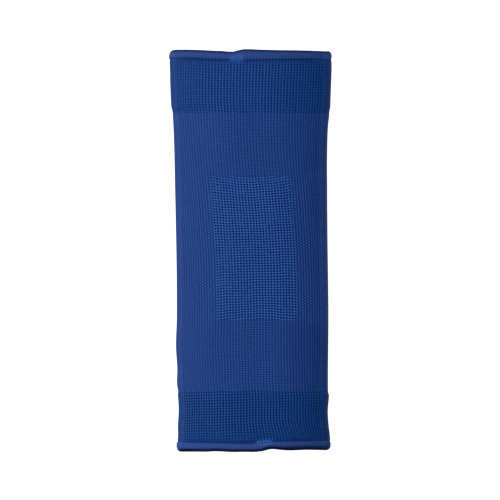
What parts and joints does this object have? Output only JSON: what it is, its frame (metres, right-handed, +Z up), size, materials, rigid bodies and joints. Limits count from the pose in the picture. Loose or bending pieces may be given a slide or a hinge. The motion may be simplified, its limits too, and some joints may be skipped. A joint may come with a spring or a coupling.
{
  "type": "sliding knee guard",
  "caption": "Knitted sleeve that slides over the knee: a tube open at both ends, with rolled welts, waffle-knit grip cuffs and a cushion panel over the kneecap.",
  "frame": {"origin": "under the middle of the guard's outline seen from above, on the surface that it lies on", "axes": "+Y to the thigh end, +Z up from the surface, out through the knee panel, +X to the right seen from above with the thigh end at the top"},
  "size_m": [0.1288, 0.32, 0.0201],
  "materials": {
    "body_knit": "matt fine-ribbed royal blue knit",
    "cuff_knit": "matt waffle knit, deeper blue",
    "panel_knit": "matt coarse waffle knit, royal blue with dark hollows",
    "welt_knit": "matt smooth plain knit, royal blue",
    "tack_thread": "lighter blue polyester thread with a slight sheen"
  },
  "bodies": {
    "root": {"sleeve_body": "body_knit", "knee_panel": "panel_knit", "upper_cuff": "cuff_knit", "lower_cuff": "cuff_knit", "upper_welt": "welt_knit", "lower_welt": "welt_knit", "upper_tack": "tack_thread", "lower_tack": "tack_thread"}
  },
  "joints": []
}
